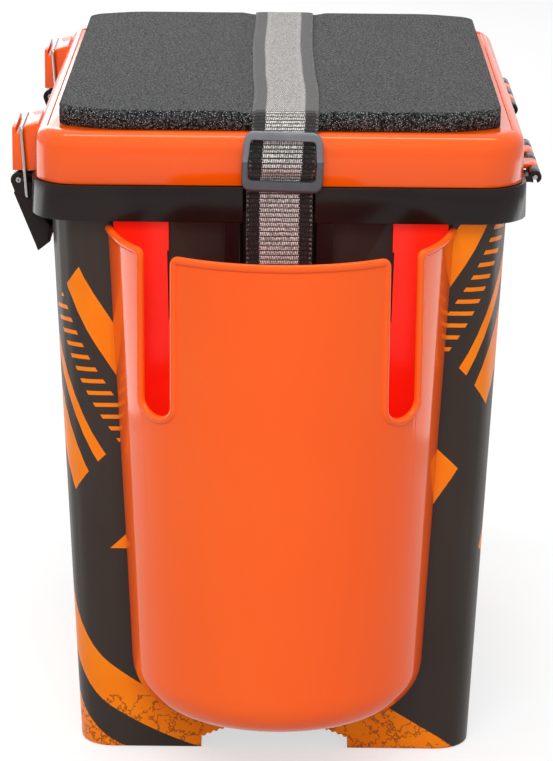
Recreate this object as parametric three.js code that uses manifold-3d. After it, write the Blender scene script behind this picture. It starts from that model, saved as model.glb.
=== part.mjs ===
import * as THREE from 'three';
import { mergeVertices } from 'three/addons/utils/BufferGeometryUtils.js';
import Module from 'manifold-3d';

// Fishing seat box: a tapered tub on two runners, a hinged seat lid with a foam pad,
// two toggle latches, two hinges, a carrying strap and a hang-on pocket.
// Millimetres, +Z up. The pocket end faces -Y, the latches -X, the hinges +X.

const wasm = await Module();
wasm.setup();

// Overall sizes
const rimWidth = 285;
const rimLength = 386;
const rimCorner = 28;
const partingHeight = 351;

// Clearances
const touchGap = 0.3;
const pinGap = 0.25;
const cutOver = 2;
const fuse = 1;

// Tub
const wall = 3;
const wallInset = 10.7;
const footInset = 25.4;
const footEdge = 2;
const cavityEdge = 3;
const bodyCorner = 24;
const footCorner = 20;
const rimPlate = 2.8;
const apronHeight = 20.6;
const apronWall = 2.4;
const lipHeight = 3.2;
const lipWall = 2;
const lipGap = 1;

// Tunnel between the runners
const tunnelWidth = 88;
const tunnelSide = 8;
const tunnelRise = 10.5;
const ridgeDepth = 1.5;
const ridgeCount = 24;

// Strap channel and its anchor bars
const postInner = 41.2;
const postWidth = 10.4;
const postReach = 0.7;
const postRound = 4;
const postDrop = 75;
const postFoot = 9;
const anchorDrop = 65;
const anchorRadius = 2.5;
const anchorDepth = 4.8;
const channelDepth = 4.8;

// Lid
const lidInset = 2;
const lidHeight = 30;
const lidEdge = 8;
const lidWall = 2.6;
const lidTop = 3;
const recessDepth = 0.8;
const recessMargin = 6;
const ribWall = 2;
const ribHeight = 12;
const ribSpacingX = 110;
const ribSpacingY = 95;

// Seat pad
const padThickness = 11.5;
const padInsetX = 13.2;
const padInsetY = 15.5;
const padCornerX = 29;
const padCornerY = 13;

// Hinges
const hingeOffset = 6;
const hingeDrop = 1.2;
const hingeEndInset = 89;
const knuckleRadius = 3.7;
const knuckleLength = 18.8;
const knuckleGap = 0.5;
const knuckleCount = 5;
const hingePinRadius = 1.4;
const hingeSlot = 2.2;
const hingeArm = 2.4;

// Latches
const latchEndInset = 62;
const latchLength = 44;
const pivotOffset = 8.9;
const pivotDrop = 5.5;
const pivotPinRadius = 1.6;
const pivotPinBore = 0.6;
const pivotPinBoreDepth = 3;
const lugRadius = 4;
const lugLength = 10;
const lugSpacing = 24;
const lugArmShare = 0.8;
const leverPlate = 1.8;
const leverWeb = 2;
const leverHead = 4.6;
const leverLength = 42;
const leverSweep = 10.9;
const leverTipWidth = 7.1;
const leverTipRise = 5.5;
const leverShoulder = 16.3;
const leverNose = 26.5;
const leverNeckX = 3.9;
const leverNeckDrop = 2.6;
const webTopX = 2;
const webTopDrop = 7.02;
const webFootIn = 0.3;
const webFootRise = 2.2;
const webLipIn = 0.4;
const webLipRise = 1.24;
const bailWire = 1.25;
const bailBend = 3;
const bailRootX = 5.2;
const bailRootZ = 9.6;
const bailBarX = 1;
const bailBarZ = 30.7;
const bailStub = 1.6;
const catchHeight = 25.4;
const catchReach = 14.3;
const catchSkin = 2.2;
const catchShoulder = 2;
const grooveSide = 0.95;
const grooveBelow = 1.8;

// Pocket
const pocketTop = 323.6;
const pocketShift = 1.2;
const pocketFloor = 37;
const pocketRadius = 98.2;
const pocketFootRadius = 85.7;
const pocketFillet = 25;
const pocketWall = 2.4;
const pocketAxisInset = 12.27;
const pocketGap = 0.4;
const beadHeight = 4.6;
const beadReach = 2;
const notchSpacing = 137.2;
const notchRadius = 7.4;
const notchDepth = 96.5;
const notchBead = 4.4;
const notchBeadReach = 1.8;
const backPlateDrop = 54;
const tongueInner = 128.4;
const tongueWidth = 31.8;
const tongueRise = 20.9;
const socketRib = 2;
const socketGap = 0.5;

// Strap and slider
const strapWidth = 37.5;
const strapThickness = 1.4;
const strapCentre = 1.2;
const strapBend = 5;
const strapStandOff = 0.9;
const loopTail = 1;
const windowEase = 2.8;
const sewnLength = 40;
const sliderWidth = 47.4;
const sliderHeight = 34;
const sliderSide = 3.9;
const sliderBar = 5;
const sliderThickness = 3.6;
const sliderCorner = 6;
const sliderBevel = 0.7;
const sliderCentreRise = 15;
const sliderTilt = 2.5;
const crossBarHeight = 4;
const crossBarThickness = 1.6;

// Roundness of curved surfaces
const cornerSteps = 7;
const edgeSteps = 4;
const roundSides = 24;
const wireSides = 10;
const pocketSides = 72;
const shapeSteps = 8;
const bevelSteps = 2;
const bendShare = 0.45;
const sharpestLean = 0.5;

// Derived places shared by several pieces
const rimX = rimWidth / 2;
const rimY = rimLength / 2;
const apronBottom = partingHeight - apronHeight;
const draft = (footInset - wallInset) / apronBottom;
const insetAt = (z) => footInset - draft * z;
const wallYAt = (z) => rimY - insetAt(z);
const lidX = rimX - lidInset;
const lidY = rimY - lidInset;
const lidBottom = partingHeight + touchGap;
const lidTopZ = lidBottom + lidHeight - touchGap;
const padBottom = lidTopZ - recessDepth + touchGap;
const padTop = padBottom + padThickness;
const padX = lidX - padInsetX;
const padY = lidY - padInsetY;
const hingeSpacing = rimLength - hingeEndInset * 2;
const latchSpacing = rimLength - latchEndInset * 2;
const hingeX = rimX + hingeOffset;
const hingeZ = partingHeight - hingeDrop;
const hingeLength = knuckleCount * knuckleLength + (knuckleCount - 1) * knuckleGap;
const pivotX = -rimX - pivotOffset;
const pivotZ = partingHeight - pivotDrop;
const latchHalf = latchLength / 2;
const postX = postInner / 2;
const postY = rimY - postReach;
const anchorY = postY - anchorDepth;
const anchorZ = partingHeight - anchorDrop;

// Solid helpers
function toSolid(geometry) {
  const bare = geometry.clone();
  bare.deleteAttribute('normal');
  bare.deleteAttribute('uv');
  const merged = mergeVertices(bare);
  return new wasm.Manifold(new wasm.Mesh({
    numProp: 3,
    vertProperties: new Float32Array(merged.attributes.position.array),
    triVerts: new Uint32Array(merged.index.array),
  }));
}

function toGeometry(solid) {
  const mesh = solid.getMesh();
  const geometry = new THREE.BufferGeometry();
  geometry.setAttribute('position', new THREE.BufferAttribute(new Float32Array(mesh.vertProperties), 3));
  geometry.setIndex(new THREE.BufferAttribute(new Uint32Array(mesh.triVerts), 1));
  geometry.computeVertexNormals();
  return geometry;
}

const join = (solids) => solids.reduce((sum, solid) => sum.add(solid));
const cut = (solid, cutters) => cutters.reduce((rest, cutter) => rest.subtract(cutter), solid);

// Rounded rectangle outline, counterclockwise
function roundedRing(halfX, halfY, radius) {
  const r = Math.min(radius, halfX, halfY);
  const x = halfX - r;
  const y = halfY - r;
  const centres = [[x, y], [-x, y], [-x, -y], [x, -y]];
  const ring = [];
  centres.forEach(([centreX, centreY], corner) => {
    for (let step = 0; step <= cornerSteps; step += 1) {
      const angle = (corner + step / cornerSteps) * Math.PI / 2;
      ring.push(new THREE.Vector2(centreX + r * Math.cos(angle), centreY + r * Math.sin(angle)));
    }
  });
  return ring;
}

// Closed body through rounded rectangles stacked in Z
function loft(sections) {
  const rings = sections.map((s) => roundedRing(s.x, s.y, s.r));
  const count = rings[0].length;
  const places = [];
  rings.forEach((ring, level) => ring.forEach((p) => places.push(p.x, p.y, sections[level].z)));
  const faces = [];
  for (let level = 0; level + 1 < rings.length; level += 1) {
    for (let i = 0; i < count; i += 1) {
      const a = level * count + i;
      const b = level * count + (i + 1) % count;
      faces.push(a, b, b + count, a, b + count, a + count);
    }
  }
  const bottom = places.length / 3;
  places.push(0, 0, sections[0].z, 0, 0, sections[sections.length - 1].z);
  const last = (rings.length - 1) * count;
  for (let i = 0; i < count; i += 1) {
    const next = (i + 1) % count;
    faces.push(bottom, next, i, bottom + 1, last + i, last + next);
  }
  const geometry = new THREE.BufferGeometry();
  geometry.setAttribute('position', new THREE.Float32BufferAttribute(places, 3));
  geometry.setIndex(faces);
  return toSolid(geometry);
}

function extruded(shape, depth, bevel = 0) {
  const edges = { bevelEnabled: bevel > 0, bevelThickness: bevel, bevelSize: bevel, bevelOffset: -bevel };
  const fineness = { curveSegments: shapeSteps, bevelSegments: bevelSteps };
  return new THREE.ExtrudeGeometry(shape, { depth, ...edges, ...fineness });
}

const outline = (points) => new THREE.Shape(points.map(([a, b]) => new THREE.Vector2(a, b)));

// Shape drawn in X and Z, from fromY to toY
function prismY(shape, fromY, toY) {
  const turn = new THREE.Matrix4().makeBasis(
    new THREE.Vector3(1, 0, 0), new THREE.Vector3(0, 0, 1), new THREE.Vector3(0, -1, 0));
  return toSolid(extruded(shape, toY - fromY).applyMatrix4(turn).translate(0, toY, 0));
}

// Shape drawn in Y and Z, from fromX to toX
function prismX(shape, fromX, toX) {
  const turn = new THREE.Matrix4().makeBasis(
    new THREE.Vector3(0, 1, 0), new THREE.Vector3(0, 0, 1), new THREE.Vector3(1, 0, 0));
  return toSolid(extruded(shape, toX - fromX).applyMatrix4(turn).translate(fromX, 0, 0));
}

const prismZ = (shape, fromZ, toZ) => toSolid(extruded(shape, toZ - fromZ).translate(0, 0, fromZ));

function block(fromX, toX, fromY, toY, fromZ, toZ) {
  const box = new THREE.BoxGeometry(toX - fromX, toY - fromY, toZ - fromZ);
  return toSolid(box.translate((fromX + toX) / 2, (fromY + toY) / 2, (fromZ + toZ) / 2));
}

function rodAlongY(x, z, radius, fromY, toY, sides = roundSides) {
  const rod = new THREE.CylinderGeometry(radius, radius, toY - fromY, sides);
  return toSolid(rod.translate(x, (fromY + toY) / 2, z));
}

function rodAlongX(y, z, radius, fromX, toX) {
  const rod = new THREE.CylinderGeometry(radius, radius, toX - fromX, roundSides).rotateZ(-Math.PI / 2);
  return toSolid(rod.translate((fromX + toX) / 2, y, z));
}

// Flat band of the given thickness along a path of [a, b] points
function bandOutline(path, thickness) {
  const sideOf = (index, sign) => {
    const here = path[index];
    const before = path[Math.max(index - 1, 0)];
    const after = path[Math.min(index + 1, path.length - 1)];
    const entering = here.clone().sub(before).normalize();
    const leaving = after.clone().sub(here).normalize();
    const along = entering.clone().add(leaving).normalize();
    const bends = index > 0 && index + 1 < path.length;
    const lean = bends ? Math.max(along.dot(leaving), sharpestLean) : 1;
    const reach = sign * thickness / 2 / lean;
    return new THREE.Vector2(here.x - along.y * reach, here.y + along.x * reach);
  };
  const left = path.map((_, index) => sideOf(index, 1));
  const right = path.map((_, index) => sideOf(index, -1));
  return new THREE.Shape([...right, ...left.reverse()]);
}

// Corner points joined by straight runs and round bends
function bentPath(corners, bend) {
  const path = [corners[0]];
  for (let i = 1; i + 1 < corners.length; i += 1) {
    const here = corners[i];
    const back = corners[i - 1].clone().sub(here);
    const ahead = corners[i + 1].clone().sub(here);
    const reach = Math.min(bend, back.length() * bendShare, ahead.length() * bendShare);
    const start = here.clone().add(back.setLength(reach));
    const finish = here.clone().add(ahead.setLength(reach));
    for (let step = 0; step <= edgeSteps; step += 1) {
      const t = step / edgeSteps;
      const blend = start.clone().multiplyScalar((1 - t) ** 2);
      blend.addScaledVector(here, 2 * t * (1 - t)).addScaledVector(finish, t ** 2);
      path.push(blend);
    }
  }
  path.push(corners[corners.length - 1]);
  return path;
}

// Curve that visits its points one after another, one step each
class WirePath extends THREE.Curve {
  constructor(points) {
    super();
    this.points = points;
  }

  getPoint(t, target = new THREE.Vector3()) {
    const place = THREE.MathUtils.clamp(t, 0, 1) * (this.points.length - 1);
    const first = Math.min(Math.floor(place), this.points.length - 2);
    return target.lerpVectors(this.points[first], this.points[first + 1], place - first);
  }

  getUtoTmapping(u) {
    return u;
  }
}

function wire(points, radius) {
  const round = new THREE.Shape(Array.from({ length: wireSides }, (_, i) => {
    const angle = i / wireSides * 2 * Math.PI;
    return new THREE.Vector2(radius * Math.cos(angle), radius * Math.sin(angle));
  }));
  const settings = { steps: points.length - 1, bevelEnabled: false, extrudePath: new WirePath(points) };
  return new THREE.ExtrudeGeometry(round, settings);
}

// Solid of revolution about a vertical axis at (0, axisY), profile in [radius, z] from axis to axis
function turned(profile, axisY, sides = pocketSides) {
  const lathe = new THREE.LatheGeometry(profile.map(([r, z]) => new THREE.Vector2(r, z)), sides);
  return toSolid(lathe.rotateX(Math.PI / 2).translate(0, axisY, 0));
}

// Materials
const blackPlastic = new THREE.MeshStandardMaterial({ color: 0x2b2724, roughness: 0.5, metalness: 0 });
const orangePlastic = new THREE.MeshStandardMaterial({ color: 0xff5a22, roughness: 0.35, metalness: 0 });
const pocketPlastic = new THREE.MeshStandardMaterial({ color: 0xff4a1e, roughness: 0.3, metalness: 0 });
const foam = new THREE.MeshStandardMaterial({ color: 0x4b4b4b, roughness: 0.95, metalness: 0 });
const steel = new THREE.MeshStandardMaterial({ color: 0xc8c8c8, roughness: 0.3, metalness: 1 });
const webbing = new THREE.MeshStandardMaterial({ color: 0x3a3a3a, roughness: 0.9, metalness: 0 });
const greyPlastic = new THREE.MeshStandardMaterial({ color: 0x6b6e74, roughness: 0.45, metalness: 0 });

const seatBox = new THREE.Group();

function addPiece(name, geometry, material) {
  const mesh = new THREE.Mesh(geometry, material.clone());
  mesh.name = name;
  seatBox.add(mesh);
  return mesh;
}

// Tub
const bodySection = (z, shrink) => {
  const inset = insetAt(z) + shrink;
  const corner = footCorner + (bodyCorner - footCorner) * z / partingHeight;
  return { z, x: rimX - inset, y: rimY - inset, r: Math.max(corner - shrink, wall) };
};

function bodySolid(bottomZ, topZ, shrink, edge) {
  const sections = [];
  for (let step = 0; step <= edgeSteps; step += 1) {
    const angle = step / edgeSteps * Math.PI / 2;
    const z = bottomZ + edge * (1 - Math.cos(angle));
    sections.push(bodySection(z, shrink + edge * (1 - Math.sin(angle))));
  }
  sections.push(bodySection(topZ, shrink));
  return loft(sections);
}

// Arched tunnel outline; grow thickens it all round, ridged gives it its lengthwise ridges
function tunnelShape(grow, ridged) {
  const half = tunnelWidth / 2 + grow;
  const archAt = (share) => tunnelSide + grow + tunnelRise * (1 - share ** 2);
  const points = [[-half, -cutOver], [half, -cutOver]];
  const count = ridged ? ridgeCount : edgeSteps * 2;
  for (let i = 0; i < count; i += 1) {
    const share = 1 - 2 * i / count;
    const next = 1 - 2 * (i + 1) / count;
    const middle = (share + next) / 2;
    points.push([half * share, archAt(share)]);
    if (ridged) points.push([half * middle, archAt(middle) - ridgeDepth]);
  }
  points.push([-half, archAt(1)]);
  return outline(points);
}

function rimSolid() {
  const outer = { x: rimX, y: rimY, r: rimCorner };
  const inner = { x: rimX - apronWall, y: rimY - apronWall, r: rimCorner - apronWall };
  const shell = loft([{ ...outer, z: apronBottom }, { ...outer, z: partingHeight }]);
  const hollow = loft([{ ...inner, z: apronBottom - cutOver }, { ...inner, z: partingHeight - rimPlate }]);
  return shell.subtract(hollow);
}

function lipSolid() {
  const shrink = lidInset + lidWall + lipGap;
  const section = (extra, z) => ({
    z, x: rimX - shrink - extra, y: rimY - shrink - extra, r: rimCorner - shrink - extra,
  });
  const outer = loft([section(0, partingHeight - fuse), section(0, partingHeight + lipHeight)]);
  const low = section(lipWall, partingHeight - fuse - cutOver);
  return outer.subtract(loft([low, section(lipWall, partingHeight + lipHeight + cutOver)]));
}

// Guide post beside the strap, seen from above as a block with a round front
function postSolid(side, end) {
  const back = wallYAt(partingHeight) - wall / 2;
  const plan = new THREE.Shape();
  plan.moveTo(postX, 0);
  plan.lineTo(postX, postY - postRound);
  plan.quadraticCurveTo(postX, postY, postX + postRound, postY);
  plan.lineTo(postX + postWidth, postY);
  plan.lineTo(postX + postWidth, 0);
  const footZ = partingHeight - postDrop;
  const column = prismZ(plan, footZ, partingHeight - rimPlate + fuse);
  const profile = outline([
    [wallYAt(footZ) - wall / 2, footZ], [wallYAt(footZ) + pinGap, footZ],
    [postY + cutOver, footZ + postFoot], [postY + cutOver, partingHeight],
    [back, partingHeight],
  ]);
  const post = column.intersect(prismX(profile, 0, postX + postWidth + cutOver));
  const hole = rodAlongX(anchorY, anchorZ, anchorRadius + pinGap, 0, postX + postWidth + cutOver);
  return post.subtract(hole).transform(mirrorMatrix(side, end));
}

// Column-major mirror that swaps the sign of X and of Y
const mirrorMatrix = (side, end) => [side, 0, 0, 0, 0, end, 0, 0, 0, 0, 1, 0, 0, 0, 0, 1];

function socketRibs(end) {
  const inner = tongueInner / 2 - socketGap - socketRib;
  const outer = tongueInner / 2 + tongueWidth + socketGap;
  const ribs = [];
  for (const side of [-1, 1]) {
    for (const place of [inner, outer]) {
      const rib = block(place, place + socketRib, wallYAt(apronBottom) - wall / 2, rimY - apronWall / 2,
        apronBottom, partingHeight - rimPlate + fuse);
      ribs.push(rib.transform(mirrorMatrix(side, end)));
    }
  }
  return join(ribs).translate([pocketShift, 0, 0]);
}

const knuckleStart = (index) => (knuckleLength + knuckleGap) * index - hingeLength / 2;

// Black knuckles, open below so that the pin snaps in
function tubKnuckles(centreY) {
  const knuckles = [];
  for (let index = 0; index < knuckleCount; index += 2) {
    const from = centreY + knuckleStart(index);
    const to = from + knuckleLength;
    const armBottom = hingeZ - knuckleRadius + hingePinRadius / 2;
    const arm = block(rimX - fuse, hingeX, from, to, armBottom, hingeZ + hingeDrop / 2);
    const barrel = rodAlongY(hingeX, hingeZ, knuckleRadius, from, to).add(arm);
    const bore = rodAlongY(hingeX, hingeZ, hingePinRadius + pinGap, from - cutOver, to + cutOver);
    const slot = block(hingeX - hingeSlot / 2, hingeX + hingeSlot / 2, from - cutOver, to + cutOver,
      hingeZ - knuckleRadius - cutOver, hingeZ);
    knuckles.push(cut(barrel, [bore, slot]));
  }
  return join(knuckles);
}

// Two lugs that carry a latch lever's pivot pin
function latchLugs(centreY) {
  const armReach = lugRadius * lugArmShare;
  const lugs = [];
  for (const side of [-1, 1]) {
    const from = centreY + side * lugSpacing / 2 - lugLength / 2;
    const to = from + lugLength;
    const arm = block(pivotX, fuse - rimX, from, to, pivotZ - armReach, pivotZ + armReach);
    const bore = rodAlongY(pivotX, pivotZ, pivotPinRadius + pinGap, from - cutOver, to + cutOver);
    lugs.push(rodAlongY(pivotX, pivotZ, lugRadius, from, to).add(arm).subtract(bore));
  }
  return join(lugs);
}

function tubSolid() {
  const outer = bodySolid(0, partingHeight, 0, footEdge);
  const shaped = outer.subtract(prismY(tunnelShape(0, true), -rimY, rimY)).add(rimSolid());
  const channelCut = (end) => block(-postX, postX, rimY - channelDepth, rimY + cutOver,
    apronBottom - cutOver, partingHeight + cutOver).transform(mirrorMatrix(1, end));
  const apronGap = (end) => block(-postX, postX, wallYAt(partingHeight), rimY + cutOver,
    apronBottom - cutOver, partingHeight - rimPlate).transform(mirrorMatrix(1, end));
  let tub = cut(shaped, [channelCut(-1), channelCut(1), apronGap(-1), apronGap(1)]);
  const posts = [-1, 1].flatMap((side) => [-1, 1].map((end) => postSolid(side, end)));
  const cavity = bodySolid(wall, partingHeight + cutOver, wall, cavityEdge)
    .subtract(prismY(tunnelShape(wall, false), -rimY, rimY));
  tub = join([tub, ...posts, socketRibs(-1)]).subtract(cavity).add(lipSolid());
  for (const end of [-1, 1]) {
    tub = tub.add(tubKnuckles(end * hingeSpacing / 2)).add(latchLugs(end * latchSpacing / 2));
  }
  return tub;
}

addPiece('tub', toGeometry(tubSolid()), blackPlastic);

// Lid
function padOutline(grow) {
  const x = padX + grow;
  const y = padY + grow;
  const corner = [
    [x, y - padCornerY], [x - padCornerX, y],
    [padCornerX - x, y], [-x, y - padCornerY],
    [-x, padCornerY - y], [padCornerX - x, -y],
    [x - padCornerX, -y], [x, padCornerY - y],
  ];
  return outline(corner);
}

function lidShell() {
  const section = (z, shrink) => ({
    z, x: lidX - shrink, y: lidY - shrink, r: rimCorner - lidInset - shrink,
  });
  const rounded = (topZ, edge, shrink, bottomZ) => {
    const sections = [section(bottomZ, shrink)];
    for (let step = 0; step <= edgeSteps; step += 1) {
      const angle = step / edgeSteps * Math.PI / 2;
      sections.push(section(topZ - edge * (1 - Math.sin(angle)), shrink + edge * (1 - Math.cos(angle))));
    }
    return loft(sections);
  };
  const outer = rounded(lidTopZ, lidEdge, 0, lidBottom);
  const inner = rounded(lidTopZ - lidTop, lidEdge - lidWall, lidWall, lidBottom - cutOver);
  const recess = prismZ(padOutline(recessMargin), lidTopZ - recessDepth, lidTopZ + cutOver);
  return cut(outer, [inner, recess]);
}

function lidRibs() {
  const top = lidTopZ - lidTop + fuse;
  const low = lidTopZ - lidTop - ribHeight;
  const ribs = [];
  for (const side of [-1, 1]) {
    const x = side * ribSpacingX / 2;
    ribs.push(block(x - ribWall / 2, x + ribWall / 2, lidEdge - lidY, lidY - lidEdge, low, top));
  }
  for (const row of [-1, 0, 1]) {
    const y = row * ribSpacingY;
    ribs.push(block(lidEdge - lidX, lidX - lidEdge, y - ribWall / 2, y + ribWall / 2, low, top));
  }
  return join(ribs);
}

// Catch that a bail hooks over: a hollow block with a groove along its top
function catchSolid(centreY) {
  const outerX = -lidX - catchReach;
  const barX = pivotX + bailBarX;
  const barZ = pivotZ + bailBarZ;
  const grooveOut = barX - bailWire - grooveSide;
  const grooveIn = barX + bailWire + grooveSide;
  const grooveZ = barZ - bailWire - grooveBelow;
  const topZ = lidBottom + catchHeight;
  const shape = outline([
    [outerX, lidBottom], [fuse - lidX, lidBottom], [fuse - lidX, topZ + catchShoulder],
    [-lidX, topZ + catchShoulder], [grooveIn, topZ], [grooveIn, grooveZ],
    [grooveOut, grooveZ], [grooveOut, topZ], [outerX, topZ],
  ]);
  const solid = prismY(shape, centreY - latchHalf, centreY + latchHalf);
  const reach = latchHalf - catchSkin;
  return solid.subtract(block(outerX + catchSkin, -lidX - catchSkin / 2, centreY - reach, centreY + reach,
    lidBottom - cutOver, grooveZ - catchSkin));
}

// Orange knuckles that turn between the black ones
function lidKnuckles(centreY) {
  const knuckles = [];
  for (let index = 1; index < knuckleCount; index += 2) {
    const from = centreY + knuckleStart(index);
    const to = from + knuckleLength;
    const armTop = hingeZ + knuckleRadius;
    const arm = block(lidX - fuse, hingeX, from, to, armTop - hingeArm, armTop);
    const bore = rodAlongY(hingeX, hingeZ, hingePinRadius + pinGap, from - cutOver, to + cutOver);
    knuckles.push(rodAlongY(hingeX, hingeZ, knuckleRadius, from, to).add(arm).subtract(bore));
  }
  return join(knuckles);
}

const lidParts = [lidShell(), lidRibs()];
for (const end of [-1, 1]) {
  lidParts.push(catchSolid(end * latchSpacing / 2), lidKnuckles(end * hingeSpacing / 2));
}
addPiece('lid', toGeometry(join(lidParts)), orangePlastic);

// Seat pad, a foam slab whose ends run back to the corners
addPiece('seat_pad', toGeometry(prismZ(padOutline(0), padBottom, padTop)), foam);

// Hinge pins
for (const [name, end] of [['hinge_pin_front', -1], ['hinge_pin_rear', 1]]) {
  const centre = end * hingeSpacing / 2;
  const half = hingeLength / 2 + knuckleGap;
  addPiece(name, toGeometry(rodAlongY(hingeX, hingeZ, hingePinRadius, centre - half, centre + half)), steel);
}

// Latch lever: two side plates joined by a web that ends in a pull lip
function leverSolid(centreY) {
  const tip = [leverSweep, -leverLength];
  const lip = [leverSweep + leverTipWidth, leverTipRise - leverLength];
  const inside = pivotOffset - touchGap - fuse / 2;
  const plate = outline([
    [-leverHead, 0], [-leverNeckX, -leverNeckDrop], tip, lip,
    [lip[0], -leverNose], [inside, -leverShoulder], [inside, -leverHead / 2], [leverHead, 0],
  ]);
  const place = [1, 0, 0, 0, 0, 1, 0, 0, 0, 0, 1, 0, pivotX, centreY, pivotZ, 1];
  const stem = new THREE.Vector2(-webTopX, -webTopDrop);
  const foot = new THREE.Vector2(tip[0] + webFootIn, tip[1] + webFootRise);
  const end = new THREE.Vector2(lip[0] - webLipIn, lip[1] + webLipRise);
  const web = prismY(bandOutline([stem, foot, end], leverWeb), -latchHalf, latchHalf);
  let lever = web;
  for (const side of [-1, 1]) {
    const from = side < 0 ? -latchHalf : latchHalf - leverPlate;
    const to = from + leverPlate;
    lever = lever.add(prismY(plate, from, to)).add(rodAlongY(0, 0, leverHead, from, to));
  }
  const past = latchHalf + cutOver;
  const pinHole = rodAlongY(0, 0, pivotPinRadius + pinGap, -past, past);
  const wireHole = rodAlongY(bailRootX, -bailRootZ, bailWire + pinGap, -past, past);
  return cut(lever, [pinHole, wireHole]).transform(place);
}

// Hollow-ended pivot pin
function pivotPin(centreY) {
  const pin = rodAlongY(pivotX, pivotZ, pivotPinRadius, centreY - latchHalf, centreY + latchHalf);
  const bores = [-1, 1].map((side) => {
    const face = centreY + side * latchHalf;
    const depth = pivotPinBoreDepth;
    return rodAlongY(pivotX, pivotZ, pivotPinBore, face - depth, face + depth, wireSides);
  });
  return cut(pin, bores);
}

// Wire bail: crossbar over the catch, a leg down each side, ends turned into the lever
function bailGeometry(centreY) {
  const legY = latchHalf + touchGap + pinGap / 2 + bailWire;
  const stubY = latchHalf - leverPlate - bailStub;
  const at = (y, x, z) => new THREE.Vector3(pivotX + x, centreY + y, pivotZ + z);
  const root = (y) => at(y, bailRootX, -bailRootZ);
  const bar = (y) => at(y, bailBarX, bailBarZ);
  const corners = [root(-stubY), root(-legY), bar(-legY), bar(legY), root(legY), root(stubY)];
  return wire(bentPath(corners, bailBend), bailWire);
}

for (const [place, end] of [['front', -1], ['rear', 1]]) {
  const centre = end * latchSpacing / 2;
  addPiece(`latch_lever_${place}`, toGeometry(leverSolid(centre)), blackPlastic);
  addPiece(`latch_pivot_pin_${place}`, toGeometry(pivotPin(centre)), steel);
  addPiece(`latch_bail_${place}`, toGeometry(toSolid(bailGeometry(centre))), steel);
}

// Pocket: half a tapered round scoop with a flat back, two notches and a bead round its edges
const pocketAxisY = -wallYAt(pocketTop) + pocketAxisInset;
const pocketRadiusAt = (z) => {
  const share = (z - pocketFloor - pocketFillet) / (pocketTop - pocketFloor - pocketFillet);
  return pocketFootRadius + (pocketRadius - pocketFootRadius) * share;
};

function pocketProfile(shrink, topZ) {
  const floorZ = pocketFloor + shrink;
  const fillet = pocketFillet - shrink;
  const footRadius = pocketRadiusAt(pocketFloor + pocketFillet) - shrink;
  const profile = [[0, floorZ]];
  for (let step = 0; step <= edgeSteps * 2; step += 1) {
    const angle = step / (edgeSteps * 2) * Math.PI / 2;
    profile.push([footRadius - fillet * (1 - Math.sin(angle)), floorZ + fillet * (1 - Math.cos(angle))]);
  }
  profile.push([pocketRadiusAt(topZ) - shrink, topZ], [0, topZ]);
  return profile;
}

// Everything in front of a plane parallel to the sloping end wall
function frontOfWall(distance, lowZ, highZ, frontY, halfWidth) {
  const lineY = (z) => -wallYAt(z) - distance;
  return prismX(outline([[lineY(lowZ), lowZ], [lineY(highZ), highZ], [frontY, highZ], [frontY, lowZ]]),
    -halfWidth, halfWidth);
}

function notchShape(side, grow) {
  const x = side * notchSpacing / 2;
  const r = notchRadius + grow;
  const arcZ = pocketTop - notchDepth + notchRadius;
  const shape = new THREE.Shape();
  shape.moveTo(x + r, pocketTop + cutOver);
  shape.lineTo(x - r, pocketTop + cutOver);
  shape.lineTo(x - r, arcZ);
  shape.absarc(x, arcZ, r, Math.PI, 2 * Math.PI, false);
  return shape;
}

function pocketTongue(side, strip) {
  const near = side * tongueInner / 2;
  const far = side * (tongueInner / 2 + tongueWidth);
  return strip.intersect(block(Math.min(near, far), Math.max(near, far), -rimLength, 0,
    pocketTop - beadHeight * 2, pocketTop + tongueRise));
}

function pocketSolid() {
  const reach = pocketRadius * 2;
  const front = pocketAxisY - reach;
  const inFront = (distance) => frontOfWall(distance, 0, pocketTop + tongueRise * 2, front, reach);
  const beadOut = pocketRadius + beadReach;
  const beadLow = pocketTop - beadHeight;
  const ring = turned([
    [0, beadLow], [pocketRadiusAt(beadLow) - pocketWall / 2, beadLow], [pocketRadius, beadLow],
    [beadOut, beadLow + beadReach / 2], [beadOut, pocketTop - beadReach / 2],
    [pocketRadius + beadReach / 2, pocketTop], [0, pocketTop],
  ], pocketAxisY);
  const notchBack = pocketAxisY - pocketAxisInset * 2;
  const notchBlock = (grow) => [-1, 1].map((side) => prismY(notchShape(side, grow), front, notchBack));
  const thick = turned(pocketProfile(-notchBeadReach, pocketTop), pocketAxisY)
    .intersect(join(notchBlock(notchBead)));
  const outer = join([turned(pocketProfile(0, pocketTop), pocketAxisY), ring, thick])
    .intersect(inFront(pocketGap));
  const inner = turned(pocketProfile(pocketWall, pocketTop + cutOver), pocketAxisY)
    .intersect(inFront(pocketGap + pocketWall));
  const backCut = block(-tongueInner / 2, tongueInner / 2, notchBack, pocketAxisY + cutOver,
    pocketTop - backPlateDrop, pocketTop + cutOver);
  const strip = inFront(pocketGap).subtract(inFront(pocketGap + pocketWall));
  const tongues = [-1, 1].map((side) => pocketTongue(side, strip));
  const scoop = join([cut(outer, [inner, ...notchBlock(0), backCut]), ...tongues]);
  return scoop.translate([pocketShift, 0, 0]);
}

addPiece('pocket', toGeometry(pocketSolid()), pocketPlastic);

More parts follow.
